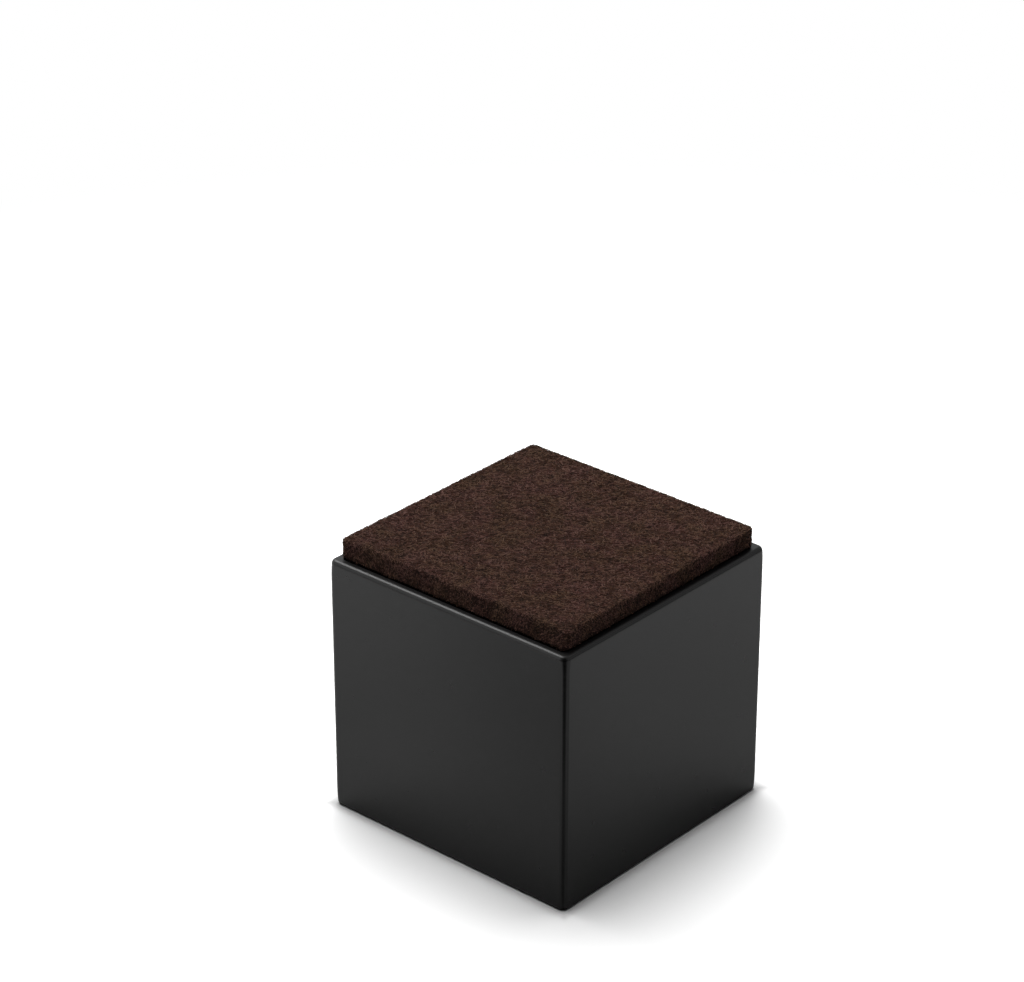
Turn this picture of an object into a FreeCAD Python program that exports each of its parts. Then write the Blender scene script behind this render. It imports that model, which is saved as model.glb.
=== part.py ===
# Bed riser: a square solid block with a felt pad stuck to its top face.
# Millimetres, +Z up. The origin is the centre of the block's underside.

import FreeCAD, Part
import math
import os

# Whole riser
LIFT_HEIGHT = 75.0               # floor to the top of the felt, which is how far the bed is raised

# Block
BLOCK_WIDTH = 76.0               # along X
BLOCK_DEPTH = 76.0               # along Y
BLOCK_CORNER_RADIUS = 1.8        # upright edges
BLOCK_TOP_EDGE_RADIUS = 0.9      # edge between the sides and the top face
BLOCK_FOOT_EDGE_RADIUS = 1.0     # edge between the sides and the underside

# Felt pad
LEDGE_WIDTH = 0.8                # flat strip of the block's top face left bare around the felt
FELT_THICKNESS = 5.0
FELT_CORNER_RADIUS = 2.0         # die-cut corners
FELT_TOP_EDGE_RADIUS = 0.7       # edge worn soft by handling
FELT_UNDER_EDGE_RADIUS = 0.3     # cut edge beside the adhesive

# Adhesive sheet between the block and the felt
ADHESIVE_THICKNESS = 0.4
ADHESIVE_SETBACK = 0.5           # from the felt's cut edge in to the adhesive's

# Worked out from the sizes above
BLOCK_HEIGHT = LIFT_HEIGHT - FELT_THICKNESS - ADHESIVE_THICKNESS
FELT_INSET = BLOCK_TOP_EDGE_RADIUS + LEDGE_WIDTH
FELT_WIDTH = BLOCK_WIDTH - 2 * FELT_INSET
FELT_DEPTH = BLOCK_DEPTH - 2 * FELT_INSET
FELT_UNDERSIDE = BLOCK_HEIGHT + ADHESIVE_THICKNESS
ADHESIVE_WIDTH = FELT_WIDTH - 2 * ADHESIVE_SETBACK
ADHESIVE_DEPTH = FELT_DEPTH - 2 * ADHESIVE_SETBACK
ADHESIVE_CORNER_RADIUS = FELT_CORNER_RADIUS - ADHESIVE_SETBACK

# Geometry helpers
UP = FreeCAD.Vector(0, 0, 1)
QUARTER_TURN = math.pi / 2
CORNER_SIDES = ((1, 1), (-1, 1), (-1, -1), (1, -1))     # anticlockwise from +X +Y


def rounded_outline(width, depth, radius, level):
    """A rectangle with round corners, centred on the Z axis at the given level."""
    arcs = []
    for turn, (side_x, side_y) in enumerate(CORNER_SIDES):
        centre = FreeCAD.Vector(side_x * (width / 2 - radius), side_y * (depth / 2 - radius), level)
        circle = Part.Circle(centre, UP, radius)
        start = turn * QUARTER_TURN
        arcs.append(Part.ArcOfCircle(circle, start, start + QUARTER_TURN).toShape())
    edges = []
    for arc, following in zip(arcs, arcs[1:] + arcs[:1]):
        edges.append(arc)
        edges.append(Part.makeLine(arc.Vertexes[-1].Point, following.Vertexes[0].Point))
    return Part.Wire(edges)


def slab(width, depth, radius, level, thickness):
    """An upright prism on that outline."""
    face = Part.Face(rounded_outline(width, depth, radius, level))
    return face.extrude(UP * thickness)


def level_of(face):
    """How high the middle of a face lies."""
    return face.CenterOfMass.z


def round_top_rim(solid, radius):
    """Rounds the edge all round a slab's top face."""
    return solid.makeFillet(radius, max(solid.Faces, key=level_of).Edges)


def round_under_rim(solid, radius):
    """Rounds the edge all round a slab's underside."""
    return solid.makeFillet(radius, min(solid.Faces, key=level_of).Edges)


def riser_block():
    """The load-bearing block, solid right through, with every edge softly rounded."""
    block = slab(BLOCK_WIDTH, BLOCK_DEPTH, BLOCK_CORNER_RADIUS, 0, BLOCK_HEIGHT)
    block = round_top_rim(block, BLOCK_TOP_EDGE_RADIUS)
    return round_under_rim(block, BLOCK_FOOT_EDGE_RADIUS)


def adhesive_sheet():
    """The thin glue sheet that holds the felt, set back so that it doesn't show at the cut edge."""
    return slab(
        ADHESIVE_WIDTH, ADHESIVE_DEPTH, ADHESIVE_CORNER_RADIUS, BLOCK_HEIGHT, ADHESIVE_THICKNESS
    )


def felt_pad():
    """The die-cut felt pad that the bed's leg stands on."""
    pad = slab(FELT_WIDTH, FELT_DEPTH, FELT_CORNER_RADIUS, FELT_UNDERSIDE, FELT_THICKNESS)
    pad = round_top_rim(pad, FELT_TOP_EDGE_RADIUS)
    return round_under_rim(pad, FELT_UNDER_EDGE_RADIUS)


PIECES = {
    "riser_block": riser_block,
    "adhesive_sheet": adhesive_sheet,
    "felt_pad": felt_pad,
}

os.makedirs("parts", exist_ok=True)
for node, make in PIECES.items():
    make().exportStep("parts/" + node + ".step")
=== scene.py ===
"""The looks of a bed riser: a black lacquered block with a brown felt pad on its top face.

Metres, +Z up, with the floor at the underside of the block. The block and the felt are modelled here
around the fixed frame, and the glue sheet between them is the frame's own.
"""

import math
from dataclasses import dataclass

import bpy
import numpy as np
from bpy.props import FloatProperty, FloatVectorProperty, IntProperty, PointerProperty
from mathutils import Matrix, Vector, noise


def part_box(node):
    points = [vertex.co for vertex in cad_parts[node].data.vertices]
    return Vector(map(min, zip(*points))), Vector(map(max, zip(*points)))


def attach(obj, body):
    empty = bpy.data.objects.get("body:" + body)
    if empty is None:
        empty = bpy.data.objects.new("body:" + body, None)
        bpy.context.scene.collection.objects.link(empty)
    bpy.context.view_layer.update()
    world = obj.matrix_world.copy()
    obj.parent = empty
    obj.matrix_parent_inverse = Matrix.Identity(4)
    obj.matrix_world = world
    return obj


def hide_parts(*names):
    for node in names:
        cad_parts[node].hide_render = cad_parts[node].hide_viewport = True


bl_info = {
    "name": "Bed Riser",
    "version": (1, 0, 0),
    "blender": (4, 5, 0),
    "location": "3D View > Sidebar > Bed Riser",
    "description": "Builds a lacquered block riser with a needled felt pad and its studio",
    "category": "Object",
}

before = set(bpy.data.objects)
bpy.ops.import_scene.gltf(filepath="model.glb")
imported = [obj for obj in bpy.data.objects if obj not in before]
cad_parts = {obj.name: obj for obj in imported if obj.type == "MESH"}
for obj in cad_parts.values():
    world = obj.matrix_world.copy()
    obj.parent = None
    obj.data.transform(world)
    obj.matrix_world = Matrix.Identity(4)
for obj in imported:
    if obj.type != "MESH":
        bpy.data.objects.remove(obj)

MM = 0.001
BODY = "root"

# Places that the frame gives
BLOCK_LOW, BLOCK_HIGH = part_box("riser_block")
FELT_LOW, FELT_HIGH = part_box("felt_pad")

# What the meshes carry for their materials: tones, with painted shade in them, and a texture map
TONE = "fibre_tone"
BAKE_MAP = "OFBake"
SHEET_MIDDLE, SHEET_SIZE = 0.46, 0.45  # where the felt's sheet lies in its map
UNDER_MIDDLE, UNDER_SIZE = 0.955, 0.035  # where the felt's underside lies in it
CELL_MARGIN = 0.1  # part of each fibre's cell of the map that is left free at its edges
STREAK_SCALE = (250, 1200, 1)  # closeness of the streaks along and round a fibre
STREAK_TONES = (0.65, 1.35)  # factors of a fibre's tone

# Lacquer and glue
MIDDLE_RANGE = (0.3, 0.7)  # where most values of a noise pattern lie
TONE_PATCH, TONE_RANGE = 9, (0.8, 1.25)  # size in orange peels, and factors of the colour
SHEEN_PATCH, SHEEN_RANGE = 3, (-0.03, 0.04)  # size in orange peels, and what roughness is added
DULL_START = 0.35 * MM  # how far under the block's top face its lacquer starts to turn duller
DULL_END = 0.12 * MM  # how far under it the lacquer is as dull as the top face
# near-black glue tones: painted shade in the gap under the felt
GLUE_SHADE_DARK, GLUE_SHADE_PALE = (0.0008, 0.0007, 0.0006), (0.0026, 0.0022, 0.0020)

# Felt
SLANT_START = 0.6  # where the cut side's slant dies out on the top face, in half widths
SLANT_END = 0.15  # where it dies out beside the corner at -X, in half widths
EDGE_SHARE = 0.3  # part of the soft edge that the top face's fibres cover
LOW_BAND = 0.8 * MM  # height of the band along the felt's lower edge that is painted darker as shade, and over which the fibres droop
LOW_PAINTED_SHADE = 0.6  # how much darker the painted shade makes that band at its foot
FINE_LUMPS = (2.7, 0.6)  # closeness and height of the finer lumps beside the broad ones
SEAT = 4  # reach over which the lumps die out underneath, in under edge radii
TANGLE_SIZE, TANGLE_DEPTH = 0.4 * MM, 0.12 * MM
STAIN_SIZE = 6 * MM
STAIN_DULL, STAIN_WARM = (0.93, 0.98, 0.86), (1.07, 1.02, 1.14)  # factors of the felt's colour
PATCH = 2.0 * MM  # distance between the paler and darker patches of the cut sides
GRAIN = math.radians(40)  # the way that most of the felt's fibres lie
PROUD = 0.2 * MM  # how far the fibres stand out beyond the surface that they are laid on
SIDE_SHARE = 0.25  # share of the fibres that are laid on the cut sides as extra
SIDE_LENGTH = 0.33  # length of the cut fibres on the sides beside those on the top face

# Studio. Four numbers are a soft step: its two ends, and the level at each.
FLOOR_REACH = 6.0  # half the width of the paper
CONTACT_SHADOW_REACH = 3.2 * MM  # how far the painted contact shadow beside the block's foot reaches
FAR_FLOOR = (0.28, 0.45)  # where the paper turns plain white to the camera, metres away
FRONT_FADE = (0.0, 0.1, 1.0, 0.52)  # mirrored light of the paper, by metres towards the front
BEYOND_FADE = (0.07, 0.11, 1.0, 1.8)  # the same further ahead
NEAR_FADE = (0.0, 0.035, 0.84, 1.0)  # the same close to the riser
ASIDE_FADE = (0.09, 0.2, 0.88, 1.25)  # by metres to either side
RIGHT_FADE = (-0.03, 0.04, 1.0, 0.84)  # by metres to the right
GAP_DEPTH = (0.02, 0.12, -0.6, -0.92)  # light added in the dark gap, by metres ahead of the corner
GAP_WIDTH = (0.3, 0.8, 1.0, 0.0)  # share of that, by metres aside over metres ahead
LEAST_AHEAD = 0.001
LEFT_WALL = (0.3, 0.64)  # cosines to the left between which the walls turn pale
FRONT_GAP = (0.65, 0.9, 0.0, 1.0)  # share of the dark front, by the cosine to it
SENSOR_WIDTH = 36  # millimetres

# Directions from the riser: to the two softboxes, which hang a metre away, to the dark front of the
# studio, to the right as seen from there, and to the pale wall on the left
SOFTBOX_WAY = Vector((-0.224, 0.129, 0.966))
RIM_WAY = Vector((-0.587, 0.021, 0.809))
FRONT_WAY = Vector((0.65, -0.76, 0))
ACROSS_WAY = Vector((0.76, 0.65, 0))
LEFT_WAY = Vector((-1, 0, 0))

# Corners and sides in anticlockwise order, a quarter turn at a time
CORNER_SIDES = ((1, 1), (-1, 1), (-1, -1), (1, -1))
QUARTER_TURNS = ((1, 0), (0, 1), (-1, 0), (0, -1))


def length(name, description, default, least=0.1):
    """A setting for a length, with its default and its least value in millimetres."""
    return FloatProperty(
        name=name, description=description, default=default * MM, min=least * MM, unit="LENGTH",
    )


class BlockSettings(bpy.types.PropertyGroup):
    """Sizes and finish of the lacquered block."""

    corner_radius: length("Corner radius", "Radius of the four upright edges", 1.6)
    top_edge_radius: length("Top edge radius", "Radius between the sides and the top face", 1.2)
    foot_edge_radius: length("Foot edge radius", "Radius between the sides and the underside", 1.0)
    worn_corner: length(
        "Worn corner", "How much rounder the upright edges are at their two ends", 0.35, 0,
    )
    worn_reach: length(
        "Worn reach", "How far from its ends an upright edge starts to grow rounder", 3.5,
    )
    edge_steps: IntProperty(
        name="Edge steps", description="Faces across each rounded edge", default=12, min=2,
    )
    colour: FloatVectorProperty(
        name="Lacquer colour", description="Black of the satin lacquer", subtype="COLOR", size=3,
        default=(0.0035, 0.0035, 0.0035), min=0, max=1,
    )
    roughness: FloatProperty(
        name="Lacquer roughness", description="Mean roughness of the satin lacquer",
        default=0.24, min=0, max=1, subtype="FACTOR",
    )
    top_roughness: FloatProperty(
        name="Top roughness", description="Roughness of the duller top face, which shows as the ledge",
        default=0.42, min=0, max=1, subtype="FACTOR",
    )
    peel_size: length("Orange peel size", "Distance between the swells of the sprayed lacquer", 1.6)
    peel_depth: length("Orange peel depth", "Height of the swells of the sprayed lacquer", 0.004, 0)


class FeltSettings(bpy.types.PropertyGroup):
    """Sizes, fibres and colours of the needled felt."""

    corner_radius: length("Corner radius", "Radius of the die-cut corners", 1.5)
    top_edge_radius: length("Top edge radius", "Radius of the soft edge round the top face", 0.35)
    under_edge_radius: length(
        "Under edge radius", "Radius of the cut edge beside the glue", 0.3, 0.05,
    )
    grid_step: length("Grid step", "Size of the faces of the felt's body", 0.4)
    body_depth: length(
        "Body depth", "How far the felt's body lies under the level of its fibres", 0.12, 0,
    )
    lump_size: length("Lump size", "Distance between the needled lumps", 1.8)
    lump_height: length("Lump height", "Height of the needled lumps", 0.05, 0)
    lock_groups: IntProperty(
        name="Lock groups", description="Pieces that the short locks are shared out among",
        default=3, min=1,
    )
    locks_per_group: IntProperty(
        name="Locks in a group", description="Short locks in each of those pieces",
        default=16500, min=1,
    )
    lock_width: length("Lock width", "Width of a short lock of fibres", 0.235, 0.01)
    lock_length: length("Lock length", "Mean length that shows of a short lock of fibres", 1.15)
    hair_groups: IntProperty(
        name="Hair groups", description="Pieces that the long hairs are shared out among",
        default=1, min=1,
    )
    hairs_per_group: IntProperty(
        name="Hairs in a group", description="Long thin hairs in each of those pieces",
        default=8200, min=1,
    )
    hair_width: length("Hair width", "Width of a long hair", 0.18, 0.01)
    hair_length: length("Hair length", "Mean length of a long hair", 2.4)
    relief: length("Fibre relief", "Height between the deepest and the topmost fibres", 0.26, 0)
    fly_share: FloatProperty(
        name="Loose ends", description="Share of the hairs with one end that stands up",
        default=0.03, min=0, max=1, subtype="FACTOR",
    )
    fly_height: length("Loose end height", "How far the highest loose ends stand up", 0.5, 0)
    droop: length(
        "Droop", "How far the fibres at the foot of the cut sides hang over the glue", 0.22, 0,
    )
    trim: FloatVectorProperty(
        name="Trim", description="How much shorter each half of the pad is cut, along X and Y",
        size=2, default=(0.1 * MM, 0.4 * MM), min=0, unit="LENGTH",
    )
    cut_slant: FloatProperty(
        name="Cut slant", description="How far the cut side that faces -Y leans in at its top",
        default=0.9 * MM, unit="LENGTH",
    )
    seed: IntProperty(
        name="Seed", description="Start of the random draws for the fibres", default=7, min=0,
    )
    tone_spread: FloatProperty(
        name="Tone spread", description="How much the fibres' tones differ", default=0.6, min=0, max=1,
    )
    cut_tone: FloatProperty(
        name="Cut side tone", description="How light the cut sides are beside the top face",
        default=1.19, min=0, max=2,
    )
    dark_colour: FloatVectorProperty(
        name="Dark fibres", description="Colour of the darkest fibres", subtype="COLOR", size=3,
        default=(0.0132, 0.0052, 0.0031), min=0, max=1,
    )
    colour: FloatVectorProperty(
        name="Felt colour", description="Colour of most of the fibres", subtype="COLOR", size=3,
        default=(0.0675, 0.0287, 0.0178), min=0, max=1,
    )
    light_colour: FloatVectorProperty(
        name="Light fibres", description="Colour of the lightest fibres", subtype="COLOR", size=3,
        default=(0.208, 0.115, 0.086), min=0, max=1,
    )


class StudioSettings(bpy.types.PropertyGroup):
    """Camera, floor and lamps."""

    camera_place: FloatVectorProperty(
        name="Camera place", description="Where the camera stands", subtype="TRANSLATION", size=3,
        default=(0.4746, -0.5551, 0.4508), unit="LENGTH",
    )
    camera_turn: FloatProperty(
        name="Camera turn", description="How far the camera is turned round from looking along +Y",
        default=math.radians(41.22), subtype="ANGLE",
    )
    camera_dip: FloatProperty(
        name="Camera dip", description="How far the camera looks down from level",
        default=math.radians(26.52), subtype="ANGLE",
    )
    camera_lens: FloatProperty(
        name="Camera lens", description="Focal length on a 36 mm wide sensor, in millimetres",
        default=118.26, min=1,
    )
    floor_colour: FloatProperty(
        name="Floor colour", description="How much light the paper floor sends back",
        default=0.8, min=0, max=1, subtype="FACTOR",
    )
    floor_gain: FloatProperty(
        name="Floor whiteness", description="How much brighter the paper shows to the camera alone",
        default=2.0, min=1,
    )
    # painted contact shadow on the paper beside the block's foot
    painted_contact_shadow: FloatProperty(
        name="Contact shade", description="Part of the extra whiteness left beside the block's foot",
        default=0.55, min=0, max=1, subtype="FACTOR",
    )
    surround: FloatProperty(
        name="Surround", description="Strength of the pale wall on the left in the lacquer",
        default=0.85, min=0,
    )
    rear_surround: FloatProperty(
        name="Rear surround", description="Strength of the duller wall behind the riser in the lacquer",
        default=0.36, min=0,
    )
    front_surround: FloatProperty(
        name="Front surround", description="Strength of the dark front of the studio in the lacquer",
        default=0.03, min=0,
    )
    fill: FloatProperty(
        name="Fill", description="Strength of the even light from all round", default=0.02, min=0,
    )
    softbox_power: FloatProperty(
        name="Softbox power", description="Power of the overhead softbox",
        default=12.6, min=0, unit="POWER",
    )
    softbox_width: FloatProperty(
        name="Softbox width", description="Width of the square overhead softbox",
        default=0.88, min=0.01, unit="LENGTH",
    )
    rim_power: FloatProperty(
        name="Rim light power", description="Power of the lower softbox on the left",
        default=4.3, min=0, unit="POWER",
    )
    rim_width: FloatProperty(
        name="Rim light width", description="Width of the square softbox on the left",
        default=0.4, min=0.01, unit="LENGTH",
    )


def finish_object(name, mesh, material):
    """Puts a finished mesh in the scene as a piece."""
    mesh.materials.append(material)
    piece = bpy.data.objects.new(name, mesh)
    bpy.context.scene.collection.objects.link(piece)
    return piece


def mesh_from(name, points, faces):
    """A smooth mesh from its points and its faces' point numbers."""
    mesh = bpy.data.meshes.new(name)
    mesh.from_pydata(points, [], faces)
    mesh.shade_smooth()
    mesh.update()
    return mesh


def carry(mesh, tones, places):
    """Gives a mesh a tone at each point, and a place in its texture map at each corner."""
    mesh.attributes.new(TONE, "FLOAT", "POINT").data.foreach_set("value", tones.astype(np.float32))
    layer = mesh.uv_layers.new(name=BAKE_MAP)
    layer.uv.foreach_set("vector", places.astype(np.float32).ravel())


def add_node(tree, kind, inputs=None, **settings):
    """A shader node with its settings, and its inputs wired or given plain values."""
    node = tree.nodes.new(kind)
    for key, value in settings.items():
        setattr(node, key, value)
    for key, value in (inputs or {}).items():
        if isinstance(value, bpy.types.NodeSocket):
            tree.links.new(value, node.inputs[key])
        else:
            node.inputs[key].default_value = value
    return node


def new_material(name):
    """An empty node material and its tree."""
    material = bpy.data.materials.new(name)
    material.use_nodes = True
    material.node_tree.nodes.clear()
    return material, material.node_tree


def add_surface(tree, inputs, kind="ShaderNodeBsdfPrincipled"):
    """Gives a material its shader and its output."""
    shader = add_node(tree, kind, inputs)
    add_node(tree, "ShaderNodeOutputMaterial", {"Surface": shader.outputs[0]})


def scaled_noise(tree, size, detail, roughness=0.5, distortion=0.0):
    """A noise pattern in the object's own metres, with swells of the given size."""
    inputs = {
        "Vector": add_node(tree, "ShaderNodeTexCoord").outputs["Object"],
        "Scale": 1 / size, "Detail": detail, "Roughness": roughness, "Distortion": distortion,
    }
    return add_node(tree, "ShaderNodeTexNoise", inputs).outputs["Fac"]


def smooth_range(tree, value, low, high, at_low, at_high, kind="SMOOTHSTEP"):
    """A step between two levels, soft unless another kind is named."""
    ends = {"Value": value, "From Min": low, "From Max": high, "To Min": at_low, "To Max": at_high}
    return add_node(tree, "ShaderNodeMapRange", ends, interpolation_type=kind).outputs["Result"]


def remap(tree, pattern, at_low, at_high):
    """Stretches a noise pattern's middle range over the values between two levels."""
    return smooth_range(tree, pattern, *MIDDLE_RANGE, at_low, at_high, "LINEAR")


def colour_ramp(tree, value, *stops):
    """Turns a value into a colour, by stops that each have a position and a colour."""
    node = add_node(tree, "ShaderNodeValToRGB", {"Fac": value})
    elements = node.color_ramp.elements
    for position, colour in stops[1:-1]:
        elements.new(position)
    for element, (position, colour) in zip(elements, stops):
        element.position = position
        element.color = (*colour, 1.0)
    return node.outputs["Color"]


def bump(tree, pattern, depth):
    """The normal of a surface that a pattern raises by up to the given depth."""
    inputs = {"Height": pattern, "Strength": 1.0, "Distance": depth}
    return add_node(tree, "ShaderNodeBump", inputs).outputs["Normal"]


def math_node(tree, operation, first, second=0.0):
    """One step of arithmetic on two wired or plain values."""
    return add_node(tree, "ShaderNodeMath", {0: first, 1: second}, operation=operation).outputs[0]


def vector_math(tree, operation, first, second=(0, 0, 0)):
    """One step of arithmetic on two wired or plain vectors, as a node."""
    return add_node(tree, "ShaderNodeVectorMath", {0: first, 1: second}, operation=operation)


def product(tree, first, *others):
    """Values multiplied."""
    for other in others:
        first = math_node(tree, "MULTIPLY", first, other)
    return first


def choose(tree, share, off, on):
    """One of two wired or plain values, by a share from 0 to 1."""
    inputs = {"Factor": share, "A": off, "B": on}
    return add_node(tree, "ShaderNodeMix", inputs, data_type="FLOAT").outputs["Result"]


def lacquer_material(settings):
    """Satin black lacquer: a faint orange peel, and an uneven sheen that is duller on the top face."""
    material, tree = new_material("satin_black_lacquer")
    tone = scaled_noise(tree, TONE_PATCH * settings.peel_size, 3)
    tones = ([factor * channel for channel in settings.colour] for factor in TONE_RANGE)
    haze = scaled_noise(tree, SHEEN_PATCH * settings.peel_size, 6, 0.65)
    sheen = remap(tree, haze, *(settings.roughness + change for change in SHEEN_RANGE))
    place = add_node(tree, "ShaderNodeTexCoord").outputs["Object"]
    level = add_node(tree, "ShaderNodeSeparateXYZ", {"Vector": place}).outputs["Z"]
    top = BLOCK_HIGH.z
    dull = smooth_range(tree, level, top - DULL_START, top - DULL_END, 0.0, 1.0)
    peel = scaled_noise(tree, settings.peel_size, 2, 0.4)
    add_surface(tree, {
        "Base Color": colour_ramp(tree, tone, *zip(MIDDLE_RANGE, tones)),
        "Roughness": choose(tree, dull, sheen, settings.top_roughness),
        "Specular IOR Level": 0.5,
        "Normal": bump(tree, peel, settings.peel_depth),
    })
    return material


def glue_material():
    """Real glue sheet, painted near black and without gloss as the shade in the gap under the felt:
    matt, with a faint mottle.
    """
    material, tree = new_material("glue_sheet_painted_shade")
    mottle = scaled_noise(tree, 1.5 * MM, 4)
    colour = colour_ramp(tree, mottle, (0.0, GLUE_SHADE_DARK), (1.0, GLUE_SHADE_PALE))
    add_surface(tree, {"Base Color": colour, "Roughness": 0.9, "Specular IOR Level": 0.0})
    return material


def add_felt(tree, settings, tone, **others):
    """A felt surface of a tone from 0 to 1, with broad stains of warmer and duller brown."""
    stops = (0.0, settings.dark_colour), (0.5, settings.colour), (1.0, settings.light_colour)
    stain = scaled_noise(tree, STAIN_SIZE, 2)
    colours = {
        "Factor": 1.0,
        "A": colour_ramp(tree, tone, *stops),
        "B": colour_ramp(tree, stain, (0.35, STAIN_DULL), (0.65, STAIN_WARM)),
    }
    mix = add_node(tree, "ShaderNodeMix", colours, data_type="RGBA", blend_type="MULTIPLY")
    finish = {"Base Color": mix.outputs["Result"], "Roughness": 0.9, "Specular IOR Level": 0.3}
    add_surface(tree, {**finish, **others})


def felt_body_material(settings):
    """Packed felt under the loose fibres: fine tangled relief, painted darker than the fibres as shade
    in the gaps between them, and lighter or darker in each place as its fibres are.
    """
    material, tree = new_material("brown_felt_body")
    tangle = scaled_noise(tree, TANGLE_SIZE, 4, 0.6, 2.5)
    light = add_node(tree, "ShaderNodeAttribute", attribute_name=TONE).outputs["Fac"]
    # the body's tones stay in the darker half, painted shade in the gaps between the fibres; light
    # holds the cut sides' tone and their painted shade
    tone = product(tree, remap(tree, tangle, 0.0, 0.5), light)
    add_felt(tree, settings, tone, Normal=bump(tree, tangle, TANGLE_DEPTH))
    return material


def felt_fibre_material(settings):
    """Loose fibres: each has its own tone, and streaks along it."""
    material, tree = new_material("brown_felt_fibre")
    own = add_node(tree, "ShaderNodeAttribute", attribute_name=TONE).outputs["Fac"]
    place = add_node(tree, "ShaderNodeUVMap", uv_map=BAKE_MAP).outputs["UV"]
    stretch = add_node(tree, "ShaderNodeMapping", {"Vector": place, "Scale": STREAK_SCALE})
    inputs = {"Vector": stretch.outputs["Vector"], "Scale": 1.0, "Detail": 3.0}
    streaks = add_node(tree, "ShaderNodeTexNoise", inputs).outputs["Fac"]
    add_felt(tree, settings, product(tree, own, remap(tree, streaks, *STREAK_TONES)))
    return material


def quarter_angles(steps):
    """Angles from 0 to a quarter turn."""
    return [math.pi / 2 * step / steps for step in range(steps + 1)]


def ring_of(half_x, half_y, radius, steps, level):
    """Points round a rectangle with round corners, with the outward direction of each."""
    points, outward = [], []
    for turn, (side_x, side_y) in enumerate(CORNER_SIDES):
        corner = Vector((side_x * (half_x - radius), side_y * (half_y - radius), level))
        for angle in quarter_angles(steps):
            angle = angle + turn * math.pi / 2
            along = Vector((math.cos(angle), math.sin(angle), 0))
            points.append(corner + along * radius)
            outward.append(along)
    return points, outward


class BlockForm:
    """Rings of points up the block, from its underside over its sides to its top face."""

    SIDE_STEPS = 8  # rings over the reach in which an upright edge grows rounder

    def __init__(self, settings):
        self.settings = settings
        self.foot = BLOCK_LOW.z + settings.foot_edge_radius
        self.top = BLOCK_HIGH.z - settings.top_edge_radius

    def corner(self, level):
        """Radius of the upright edges at that level, and how fast it grows upwards."""
        reach = self.settings.worn_reach
        to_foot = max(1 - max(level - self.foot, 0) / reach, 0)
        to_top = max(1 - max(self.top - level, 0) / reach, 0)
        extra = self.settings.worn_corner * (to_foot ** 2 + to_top ** 2)
        growth = 2 * self.settings.worn_corner * (to_top - to_foot) / reach
        inside = self.foot < level < self.top
        return self.settings.corner_radius + extra, growth if inside else 0.0

    def profile(self):
        """Inset from the side faces, level, and lean of the normal up from level, for each ring."""
        angles = quarter_angles(self.settings.edge_steps)
        foot, top = self.settings.foot_edge_radius, self.settings.top_edge_radius
        under = [(foot * (1 - math.cos(a)), self.foot - foot * math.sin(a), -a) for a in angles]
        over = [(top * (1 - math.cos(a)), self.top + top * math.sin(a), a) for a in angles]
        steps = range(1, self.SIDE_STEPS + 1)
        steps = [self.settings.worn_reach * step / self.SIDE_STEPS for step in steps]
        low = [(0, self.foot + step, 0) for step in steps]
        high = [(0, self.top - step, 0) for step in steps]
        return [*reversed(under), *low, *reversed(high), *over]

    def rings(self):
        """Points and normals of every ring, and the number of points in one."""
        size = (BLOCK_HIGH - BLOCK_LOW) / 2
        points, normals = [], []
        for inset, level, lean in self.profile():
            radius, growth = self.corner(level)
            ring, outward = ring_of(
                size.x - inset, size.y - inset, radius - inset, self.settings.edge_steps, level
            )
            points += ring
            for way in outward:
                slope = growth * (abs(way.x) + abs(way.y) - 1)
                normals.append(way * math.cos(lean) + Vector((0, 0, math.sin(lean) + slope)))
        return points, normals, len(ring)


def sheet_faces(rows, count, spots):
    """Faces between neighbouring rows of points, at the given spots along each row."""
    return [
        (
            row * count + spot,
            row * count + (spot + 1) % count,
            (row + 1) * count + (spot + 1) % count,
            (row + 1) * count + spot,
        )
        for row in range(rows - 1)
        for spot in range(spots)
    ]


class OBJECT_OT_riser_block(bpy.types.Operator):
    """Build the lacquered block with its rounded edges"""

    bl_idname = "object.riser_block"
    bl_label = "Build Block"

    def execute(self, context):
        settings = context.scene.riser_block
        points, normals, count = BlockForm(settings).rings()
        rings = len(points) // count
        faces = sheet_faces(rings, count, count)
        faces.append(tuple(reversed(range(count))))
        faces.append(tuple(range((rings - 1) * count, rings * count)))
        mesh = mesh_from("lacquered_block", points, faces)
        mesh.normals_split_custom_set_from_vertices([normal.normalized() for normal in normals])
        block = finish_object("lacquered_block", mesh, lacquer_material(settings))
        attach(block, BODY)
        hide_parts("riser_block")
        return {"FINISHED"}


class OBJECT_OT_riser_glue(bpy.types.Operator):
    """Give the glue sheet its finish"""

    bl_idname = "object.riser_glue"
    bl_label = "Finish Glue Sheet"

    def execute(self, context):
        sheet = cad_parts["adhesive_sheet"]
        sheet.data.materials.clear()
        sheet.data.materials.append(glue_material())
        return {"FINISHED"}


def side_of(p, q):
    """Which quarter of the felt's sheet each point lies in, from the one that faces +X."""
    return np.where(np.abs(p) >= np.abs(q), np.where(p >= 0, 0, 2), np.where(q >= 0, 1, 3))


def reach_of(p, q):
    """Half size of the square ring that each point of the sheet lies on, and never quite 0."""
    return np.maximum(np.maximum(np.abs(p), np.abs(q)), 1e-9)


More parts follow.
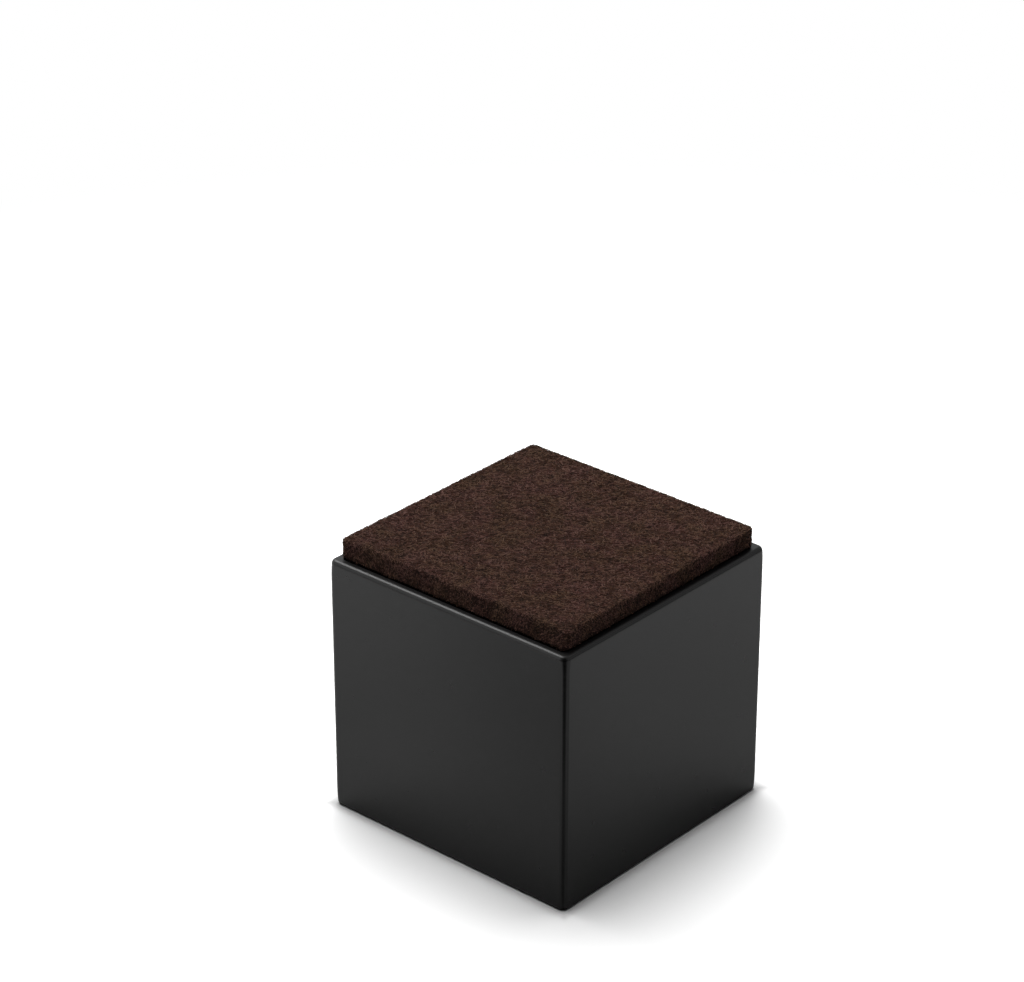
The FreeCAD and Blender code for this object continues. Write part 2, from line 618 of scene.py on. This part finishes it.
class FeltForm:
    """The felt's outer surface, unrolled onto a square sheet.

    A point (p, q) of the sheet lies on a square ring of half size max(|p|, |q|). Rings as far as the
    flat lie on the top face. Beyond it they run over the soft edge, down the cut sides and round the
    under edge. The pad is then trimmed, and the cut side that faces -Y leans in at its top. Where
    there is a droop, the foot of the cut sides hangs lower by that much.
    """

    CENTRE_SHARPNESS = 4  # how quickly the rings' corners turn sharp towards the middle
    SOFT_STEPS = 3  # rings over the soft edge, for each radian of it

    def __init__(self, settings, droop=0.0):
        self.droop = droop
        self.half = (FELT_HIGH.x - FELT_LOW.x) / 2 - PROUD
        self.top = FELT_HIGH.z - PROUD / 2
        self.soft = settings.top_edge_radius
        self.under = settings.under_edge_radius
        self.corner = settings.corner_radius
        self.cut_tone = settings.cut_tone
        self.trim_x, self.trim_y = settings.trim
        self.cut_slant = settings.cut_slant
        self.flat = self.half - self.soft
        self.soft_end = self.flat + self.soft * math.pi / 2
        self.edge = self.flat + EDGE_SHARE * self.soft
        self.side_end = self.soft_end + self.top - FELT_LOW.z - self.soft - self.under
        self.under_end = self.side_end + self.under * math.pi / 2

    def profile(self, reach):
        """Half size, corner radius, level and lean of the normal, for rings at that reach."""
        lean = np.clip((reach - self.flat) / self.soft, 0, math.pi / 2)
        under = np.clip((reach - self.side_end) / self.under, 0, math.pi / 2)
        drop = np.clip(reach, self.soft_end, self.side_end) - self.soft_end
        out = self.soft * np.sin(lean) - self.under * (1 - np.cos(under))
        half = np.minimum(reach, self.flat) + out
        inner = (self.corner - self.soft) * np.minimum(reach / self.flat, 1) ** self.CENTRE_SHARPNESS
        level = self.top - self.soft * (1 - np.cos(lean)) - drop - self.under * np.sin(under)
        level = level - self.droop * self.low(reach) ** 2
        return half, np.maximum(inner + out, 1e-6), level, lean + under

    def lay(self, p, q):
        """Points and normals of the surface at the sheet's points."""
        reach = reach_of(p, q)
        side = side_of(p, q)
        share = np.choose(side, (q, -p, -q, p)) / reach
        half, radius, level, lean = self.profile(reach)
        straight = half - radius
        along = share * (straight + radius * math.pi / 4)
        turn = np.maximum(np.abs(along) - straight, 0) / radius
        east_way, north_way = np.cos(turn), np.sign(along) * np.sin(turn)
        east = straight + radius * east_way
        north = np.sign(along) * np.minimum(np.abs(along), straight) + radius * north_way
        cos, sin = np.array(QUARTER_TURNS).T[:, side]
        across, far = cos * east - sin * north, sin * east + cos * north
        near = np.clip((-far / self.half - SLANT_START) / (1 - SLANT_START), 0, 1)
        clear = np.clip((across / self.half + 1) / SLANT_END, 0, 1)
        height = (level - FELT_LOW.z) / (self.top - FELT_LOW.z)
        far = far * (1 - self.trim_y / self.half) + self.cut_slant * near * clear * height
        across = across * (1 - self.trim_x / self.half)
        points = np.stack([across, far, level], -1)
        level_way = np.stack([cos * east_way - sin * north_way, sin * east_way + cos * north_way], -1)
        normals = np.concatenate([level_way * np.sin(lean)[:, None], np.cos(lean)[:, None]], -1)
        return points, normals

    def low(self, reach):
        """Share from 0 to 1 over the band along the cut sides' lower edge."""
        return np.clip((reach - self.side_end) / LOW_BAND + 1, 0, 1)

    def light(self, reach):
        """How light the fibres are: the cut sides differ in tone, and painted shade darkens them along
        their lower edge, where the felt meets the glue.
        """
        cut = np.clip((reach - self.flat) / (self.soft * math.pi / 4), 0, 1)
        # painted shade along the lower edge of the cut sides
        return (1 - (1 - self.cut_tone) * cut) * (1 - LOW_PAINTED_SHADE * self.low(reach) ** 2)

    def reaches(self, step):
        """Ring reaches for the felt's body: close over the soft edge, even elsewhere."""
        stretches = (
            (0, self.flat, step),
            (self.flat, self.soft_end, self.soft / self.SOFT_STEPS),
            (self.soft_end, self.side_end, step),
            (self.side_end, self.under_end, self.under),
        )
        found = [0.0]
        for start, end, pace in stretches:
            count = max(round((end - start) / pace), 1)
            found += [start + (end - start) * (index + 1) / count for index in range(count)]
        return found


def lumps(points, settings):
    """How far the needled surface swells at each point."""
    closer, lower = FINE_LUMPS
    return np.array([
        settings.lump_height * (
            noise.noise(Vector(point) / settings.lump_size)
            + lower * noise.noise(Vector(point) * closer / settings.lump_size)
        )
        for point in points
    ])


def grid_rim(count):
    """The numbers of the points round the edge of a square grid."""
    last = count - 1
    rim = list(range(last))
    rim += [row * count + last for row in range(last)]
    rim += [last * count + column for column in range(last, 0, -1)]
    return rim + [row * count for row in range(last, 0, -1)]


class OBJECT_OT_riser_felt(bpy.types.Operator):
    """Build the body of the felt pad with its needled lumps"""

    bl_idname = "object.riser_felt"
    bl_label = "Build Felt"

    def execute(self, context):
        settings = context.scene.riser_felt
        form = FeltForm(settings)
        outward = form.reaches(settings.grid_step)
        lines = np.array([-reach for reach in reversed(outward[1:])] + outward)
        count = len(lines)
        p, q = (grid.ravel() for grid in np.meshgrid(lines, lines, indexing="xy"))
        points, normals = form.lay(p, q)
        reach = reach_of(p, q)
        seated = np.clip((form.under_end - reach) / (SEAT * form.under), 0, 1)
        points += normals * (seated * (lumps(points, settings) - settings.body_depth))[:, None]
        rim = grid_rim(count)
        middle = len(points)
        points = np.vstack([points, [0, 0, FELT_LOW.z]])
        faces = sheet_faces(count, count, count - 1)
        faces += [(after, before, middle) for before, after in zip(rim, rim[1:] + rim[:1])]
        mesh = mesh_from("felt_body", points.tolist(), faces)
        spots = np.stack([np.append(p, 0), np.append(q, 0)], -1) / form.under_end
        # tones of the body, with the painted shade along the lower edge of the cut sides
        light = np.append(form.light(reach), settings.cut_tone)
        carry(mesh, light, self.places(mesh, spots, 3 * len(rim)))
        felt = finish_object("felt_body", mesh, felt_body_material(settings))
        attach(felt, BODY)
        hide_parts("felt_pad")
        return {"FINISHED"}

    def places(self, mesh, spots, under_corners):
        """Places in a map of the sheet, with its underside small in one corner."""
        corners = np.empty(len(mesh.loops), dtype=np.int32)
        mesh.loops.foreach_get("vertex_index", corners)
        places = SHEET_MIDDLE + SHEET_SIZE * spots[corners]
        places[-under_corners:] = UNDER_MIDDLE + UNDER_SIZE * spots[corners[-under_corners:]]
        return places


def unit(vectors):
    """Vectors at length one."""
    return vectors / np.maximum(np.linalg.norm(vectors, axis=-1, keepdims=True), 1e-12)


@dataclass
class Fibres:
    """One kind of fibre: how many points it has, how long and wide it is and how it lies."""

    count: int
    rings: int  # of points along it
    length: float
    width: float
    levels: tuple  # of the deepest and the topmost fibres, in reliefs
    bend: float
    spread: float  # of the tones
    fly_share: float

    SIDES = 3
    FLATNESS = 0.6  # height of a fibre beside its width
    TOP_STRAY, SIDE_STRAY = 1.0, 0.7  # spread of the headings on the top face and the cut sides
    LENGTHS, WIDTHS = (0.4, 1.6), (0.6, 1.4)  # least and most beside the mean
    DIVES = (0.3, 0.7)  # how deep a fibre's ends dive, in reliefs
    RISES = (0.2, 1.0)  # how high a loose end stands, beside the highest
    MEAN_TONE, LAYER_TONE = 0.44, 0.25  # tone of the deepest fibres, and how much lighter the topmost are: painted shade that darkens the deeper fibres
    SPECK_SHARE, SPECK_DEPTH = 0.2, 0.33  # share of darker fibres, and how much darker they are
    SIDE_CONTRAST, SIDE_PATCHES = 1.4, 0.7  # contrast of tones and patches on the cut sides

    @property
    def points_each(self):
        return self.SIDES * self.rings + 2

    @property
    def stations(self):
        """Where the points along a fibre lie, from -1 to 1."""
        return np.linspace(-1, 1, self.rings + 2)

    def faces(self):
        """Faces of one fibre, a thin closed tube: quads along it, and triangles at its pointed ends."""
        first = self.SIDES * self.rings
        end = first - self.SIDES
        found = []
        for side in range(self.SIDES):
            beside = (side + 1) % self.SIDES
            found.append((first, beside, side))
            for low in range(0, end, self.SIDES):
                high = low + self.SIDES
                found.append((low + side, low + beside, high + beside, high + side))
            found.append((end + side, end + beside, first + 1))
        return found

    def starts(self, form, random):
        """Where each fibre starts on the sheet, how far out that is, and which way it heads."""
        count = self.count
        p, q = random.uniform(-form.side_end, form.side_end, (2, count))
        reach = reach_of(p, q)
        added = random.uniform(0, 1, count) < SIDE_SHARE
        moved = np.where(added, random.uniform(form.edge, form.side_end, count), reach)
        p, q = p * moved / reach, q * moved / reach
        upright = side_of(p, q) * math.pi / 2 + random.integers(0, 2, count) * math.pi
        upright = upright + random.normal(0, self.SIDE_STRAY, count)
        grain = GRAIN + random.normal(0, self.TOP_STRAY, count)
        return p, q, moved, np.where(moved > form.edge, upright, grain)

    def wander(self, form, random, p, q, on_side, heading):
        """The bent course of each fibre over the sheet, kept on its side of the felt's edge."""
        count = self.count
        length = self.length * random.uniform(*self.LENGTHS, count)
        length = length * np.where(on_side, SIDE_LENGTH, 1.0)
        bend = random.normal(0, self.bend, count)
        sway = random.normal(0, self.bend, count)
        way = heading[:, None] + bend[:, None] * self.stations + sway[:, None] * self.stations ** 2
        middle_way = (way[:, 1:] + way[:, :-1]) / 2
        pace = length[:, None] / (len(self.stations) - 1)
        start = np.zeros((count, 1))
        p = p[:, None] + np.concatenate([start, np.cumsum(np.cos(middle_way) * pace, 1)], 1)
        q = q[:, None] + np.concatenate([start, np.cumsum(np.sin(middle_way) * pace, 1)], 1)
        reach = reach_of(p, q)
        nearest = np.where(on_side, form.edge, 0)[:, None]
        furthest = np.where(on_side, form.side_end + form.under / 2, form.edge)[:, None]
        kept = np.clip(reach, nearest, furthest) / reach
        return p * kept, q * kept

    def lift(self, settings, random):
        """How high the points of each fibre lie over the surface, and its layer from 0 to 1."""
        layer = random.uniform(0, 1, self.count)
        low, high = self.levels
        lift = (low + (high - low) * layer) * settings.relief
        dive = random.uniform(*self.DIVES, self.count) * settings.relief
        lift = lift[:, None] - dive[:, None] * np.abs(self.stations) ** 3
        flies = random.uniform(0, 1, self.count) < self.fly_share
        rise = random.uniform(*self.RISES, self.count) * settings.fly_height * flies
        return lift + rise[:, None] * ((1 + self.stations) / 2) ** 2, layer

    def tones(self, form, random, layer, p, q, reach):
        """Tone of each fibre from 0 to 1, darker the deeper it lies as painted shade, and by where it
        starts.
        """
        # deeper fibres painted darker, as the shade among the fibres
        tone = random.normal(self.MEAN_TONE, self.spread, self.count) + self.LAYER_TONE * layer
        tone = tone - self.SPECK_DEPTH * (random.uniform(0, 1, self.count) < self.SPECK_SHARE)
        patch = np.array([noise.noise(Vector(point) / PATCH) for point in form.lay(p, q)[0]])
        side_tone = 0.5 + self.SIDE_CONTRAST * (tone - 0.5) + self.SIDE_PATCHES * patch
        return np.clip(np.where(reach > form.edge, side_tone, tone) * form.light(reach), 0, 1)

    def paths(self, form, settings, random):
        """Centre points, normals and tone of each fibre."""
        p0, q0, reach, heading = self.starts(form, random)
        p, q = self.wander(form, random, p0, q0, reach > form.edge, heading)
        lift, layer = self.lift(settings, random)
        points, normals = form.lay(p.ravel(), q.ravel())
        points = points + normals * lift.ravel()[:, None]
        tone = self.tones(form, random, layer, p0, q0, reach)
        return points.reshape(self.count, -1, 3), normals.reshape(self.count, -1, 3), tone

    def mesh(self, name, form, settings, random):
        """A mesh of all the fibres, laid over the felt's body."""
        path, normals, tone = self.paths(form, settings, random)
        along = unit(np.gradient(path, axis=1))
        across = unit(np.cross(along, normals))
        up = np.cross(across, along)
        taper = 1 - self.stations ** 2
        width = self.width * random.uniform(*self.WIDTHS, (self.count, 1, 1)) * taper[None, :, None] / 2
        rings = []
        for corner in range(self.SIDES):
            angle = math.pi / 2 + 2 * math.pi * corner / self.SIDES
            out = across * math.cos(angle) + up * self.FLATNESS * math.sin(angle)
            rings.append(path + width * out)
        rings = np.stack(rings, 2)[:, 1:-1].reshape(self.count, -1, 3)
        points = np.concatenate([rings, path[:, :1], path[:, -1:]], 1)
        each = self.faces()
        starts = range(0, self.count * self.points_each, self.points_each)
        faces = [[start + corner for corner in face] for start in starts for face in each]
        mesh = mesh_from(name, points.reshape(-1, 3), faces)
        carry(mesh, np.repeat(tone, self.points_each), self.places(each))
        mesh.validate()
        return mesh

    def places(self, each):
        """Places in a map that gives each fibre a small cell of its own."""
        columns = math.ceil(math.sqrt(self.count))
        last = self.SIDES * self.rings
        spots = []
        for face in each:
            sides = [corner % self.SIDES for corner in face if corner < last]
            at_seam = self.SIDES - 1 in sides
            for corner in face:
                if corner >= last:
                    spots.append((0.0 if corner == last else 1.0, 0.5))
                    continue
                ring, side = divmod(corner, self.SIDES)
                turn = self.SIDES if side == 0 and at_seam else side
                spots.append(((ring + 1) / (self.rings + 1), turn / self.SIDES))
        spots = np.array(spots) * (1 - 2 * CELL_MARGIN) + CELL_MARGIN
        cells = np.stack(np.divmod(np.arange(self.count), columns), -1)
        return (cells[:, None, :] + spots[None]) / columns


class OBJECT_OT_riser_fibres(bpy.types.Operator):
    """Lay the tangled locks and hairs over the felt's body"""

    bl_idname = "object.riser_fibres"
    bl_label = "Lay Felt Fibres"

    def execute(self, context):
        settings = context.scene.riser_felt
        form = FeltForm(settings, settings.droop)
        felt = bpy.data.objects["felt_body"]
        material = felt_fibre_material(settings)
        random = np.random.default_rng(settings.seed)
        locks = Fibres(
            count=settings.locks_per_group, rings=2, length=settings.lock_length,
            width=settings.lock_width, levels=(-0.5, 0.3), bend=0.5, spread=0.8 * settings.tone_spread,
            fly_share=0.0,
        )
        hairs = Fibres(
            count=settings.hairs_per_group, rings=4, length=settings.hair_length,
            width=settings.hair_width, levels=(-0.1, 0.5), bend=0.7, spread=settings.tone_spread,
            fly_share=settings.fly_share,
        )
        kinds = [(f"felt_locks_{number}", locks) for number in range(1, settings.lock_groups + 1)]
        kinds += [(f"felt_hairs_{number}", hairs) for number in range(1, settings.hair_groups + 1)]
        for name, kind in kinds:
            fibres = finish_object(name, kind.mesh(name, form, settings, random), material)
            fibres.parent = felt
        return {"FINISHED"}


def along_way(tree, place, way):
    """How far a place lies along a direction."""
    return vector_math(tree, "DOT_PRODUCT", place, way).outputs["Value"]


def distance_outside(tree, place):
    """How far a place lies outside the block's footprint."""
    positive = vector_math(tree, "ABSOLUTE", place).outputs["Vector"]
    apart = add_node(tree, "ShaderNodeSeparateXYZ", {"Vector": positive})
    furthest = math_node(tree, "MAXIMUM", apart.outputs["X"], apart.outputs["Y"])
    return math_node(tree, "SUBTRACT", furthest, BLOCK_HIGH.x)


def mirrored_floor(tree, place):
    """Light of the paper in what the lacquer mirrors, with a dark gap ahead of the front corner."""
    forward = along_way(tree, place, FRONT_WAY)
    across = along_way(tree, place, ACROSS_WAY)
    corner = Vector((BLOCK_HIGH.x, BLOCK_LOW.y, 0))
    ahead = math_node(tree, "SUBTRACT", forward, corner.dot(FRONT_WAY))
    ahead = math_node(tree, "MAXIMUM", ahead, LEAST_AHEAD)
    aside = math_node(tree, "ABSOLUTE", math_node(tree, "SUBTRACT", across, corner.dot(ACROSS_WAY)))
    depth = smooth_range(tree, ahead, *GAP_DEPTH)
    inside = smooth_range(tree, math_node(tree, "DIVIDE", aside, ahead), *GAP_WIDTH)
    fade = smooth_range(tree, forward, *FRONT_FADE)
    beyond = smooth_range(tree, forward, *BEYOND_FADE)
    near = smooth_range(tree, forward, *NEAR_FADE)
    spread = smooth_range(tree, math_node(tree, "ABSOLUTE", across), *ASIDE_FADE)
    right = smooth_range(tree, across, *RIGHT_FADE)
    gap = math_node(tree, "ADD", product(tree, depth, inside), 1.0)
    return product(tree, fade, beyond, spread, right, gap, near)


def floor_material(settings):
    """White paper, darker towards the front of the studio in what the lacquer mirrors.

    The camera alone sees it whiter, so that it is white outside the shadow, less white beside the
    block's foot as a painted contact shadow, and plain white far away.
    """
    material, tree = new_material("paper_floor")
    place = add_node(tree, "ShaderNodeNewGeometry").outputs["Position"]
    path = add_node(tree, "ShaderNodeLightPath")
    mirrored = product(tree, mirrored_floor(tree, place), settings.floor_colour)
    tone = choose(tree, path.outputs["Is Glossy Ray"], settings.floor_colour, mirrored)
    bare = settings.floor_colour * settings.floor_gain
    foot = distance_outside(tree, place)
    # painted contact shadow: the camera sees the paper less white close to the block's foot
    camera_tone_with_painted_shadow = smooth_range(tree, foot, 0.0, CONTACT_SHADOW_REACH, bare * settings.painted_contact_shadow, bare)
    tone = choose(tree, path.outputs["Is Camera Ray"], tone, camera_tone_with_painted_shadow)
    reach = vector_math(tree, "LENGTH", place).outputs["Value"]
    far = smooth_range(tree, reach, *FAR_FLOOR, 0.0, 1.0)
    mix = {
        "Fac": product(tree, far, path.outputs["Is Camera Ray"]),
        1: add_node(tree, "ShaderNodeBsdfDiffuse", {"Color": tone}).outputs["BSDF"],
        2: add_node(tree, "ShaderNodeEmission").outputs["Emission"],
    }
    add_surface(tree, mix, "ShaderNodeMixShader")
    return material


def studio_world(settings):
    """Pale walls in what the lacquer mirrors, with a dark gap in front, and white to the camera."""
    world = bpy.data.worlds.new("studio")
    bpy.context.scene.world = world
    world.use_nodes = True
    tree = world.node_tree
    walls = tree.nodes["Background"]
    walls.inputs["Color"].default_value = (1, 1, 1, 1)
    place = add_node(tree, "ShaderNodeTexCoord").outputs["Generated"]
    level = vector_math(tree, "MULTIPLY", place, (1, 1, 0)).outputs["Vector"]
    heading = vector_math(tree, "NORMALIZE", level).outputs["Vector"]
    front = along_way(tree, heading, FRONT_WAY)
    left = along_way(tree, heading, LEFT_WAY)
    walls_tone = smooth_range(tree, left, *LEFT_WALL, settings.rear_surround, settings.surround)
    gap = smooth_range(tree, front, *FRONT_GAP)
    mirrored = choose(tree, gap, walls_tone, settings.front_surround)
    path = add_node(tree, "ShaderNodeLightPath")
    strength = choose(tree, path.outputs["Is Glossy Ray"], settings.fill, mirrored)
    strength = choose(tree, path.outputs["Is Camera Ray"], strength, 1.0)
    tree.links.new(strength, walls.inputs["Strength"])


def softbox(name, place, aim, width, power):
    """A square area lamp at a place, turned to the point it lights, and its holder."""
    lamp = bpy.data.lights.new(name, "AREA")
    lamp.shape = "SQUARE"
    lamp.size = width
    lamp.energy = power
    holder = bpy.data.objects.new(name, lamp)
    holder.location = place
    holder.rotation_euler = (aim - place).to_track_quat("-Z", "Y").to_euler()
    bpy.context.scene.collection.objects.link(holder)
    return holder


class OBJECT_OT_riser_studio(bpy.types.Operator):
    """Set up the floor, the soft light and the camera"""

    bl_idname = "object.riser_studio"
    bl_label = "Set Up Studio"

    def execute(self, context):
        settings = context.scene.riser_studio
        corners = [(side_x * FLOOR_REACH, side_y * FLOOR_REACH, 0) for side_x, side_y in CORNER_SIDES]
        floor = finish_object(
            "paper_floor", mesh_from("paper_floor", corners, [(0, 1, 2, 3)]), floor_material(settings)
        )
        studio_world(settings)
        aim = Vector((0, 0, BLOCK_HIGH.z / 2))
        overhead = softbox(
            "overhead_softbox", aim + SOFTBOX_WAY, aim, settings.softbox_width, settings.softbox_power
        )
        overhead.visible_glossy = False
        rim = softbox("rim_softbox", aim + RIM_WAY, aim, settings.rim_width, settings.rim_power)
        rim.visible_diffuse = False
        camera = bpy.data.objects.new("camera", bpy.data.cameras.new("camera"))
        context.scene.collection.objects.link(camera)
        camera.location = settings.camera_place
        camera.rotation_euler = (math.pi / 2 - settings.camera_dip, 0, settings.camera_turn)
        camera.data.sensor_fit = "HORIZONTAL"
        camera.data.sensor_width = SENSOR_WIDTH
        camera.data.lens = settings.camera_lens
        camera.data.clip_start = 0.01
        context.scene.camera = camera
        context.scene.view_settings.view_transform = "Standard"
        return {"FINISHED"}


class VIEW3D_PT_riser(bpy.types.Panel):
    """The riser's settings and build steps"""

    bl_idname = "VIEW3D_PT_riser"
    bl_label = "Bed Riser"
    bl_space_type = "VIEW_3D"
    bl_region_type = "UI"
    bl_category = "Bed Riser"

    def draw(self, context):
        for group, steps in STEPS.items():
            box = self.layout.box()
            settings = getattr(context.scene, group)
            for name in settings.__annotations__:
                box.prop(settings, name)
            for step in steps:
                box.operator(step.bl_idname)


STEPS = {
    "riser_block": (OBJECT_OT_riser_block, OBJECT_OT_riser_glue),
    "riser_felt": (OBJECT_OT_riser_felt, OBJECT_OT_riser_fibres),
    "riser_studio": (OBJECT_OT_riser_studio,),
}
SETTINGS = dict(zip(STEPS, (BlockSettings, FeltSettings, StudioSettings)))
OPERATORS = tuple(step for steps in STEPS.values() for step in steps)
CLASSES = (*SETTINGS.values(), *OPERATORS, VIEW3D_PT_riser)


def register():
    """Adds the classes and their settings to Blender."""
    for made in CLASSES:
        bpy.utils.register_class(made)
    for name, group in SETTINGS.items():
        setattr(bpy.types.Scene, name, PointerProperty(type=group))


def unregister():
    """Takes them out again."""
    for name in SETTINGS:
        delattr(bpy.types.Scene, name)
    for made in reversed(CLASSES):
        bpy.utils.unregister_class(made)


def main():
    """Builds every piece and the studio."""
    register()
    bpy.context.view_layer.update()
    bpy.ops.object.riser_block()
    bpy.ops.object.riser_glue()
    bpy.ops.object.riser_felt()
    bpy.ops.object.riser_fibres()
    bpy.ops.object.riser_studio()


if __name__ == "__main__":
    main()
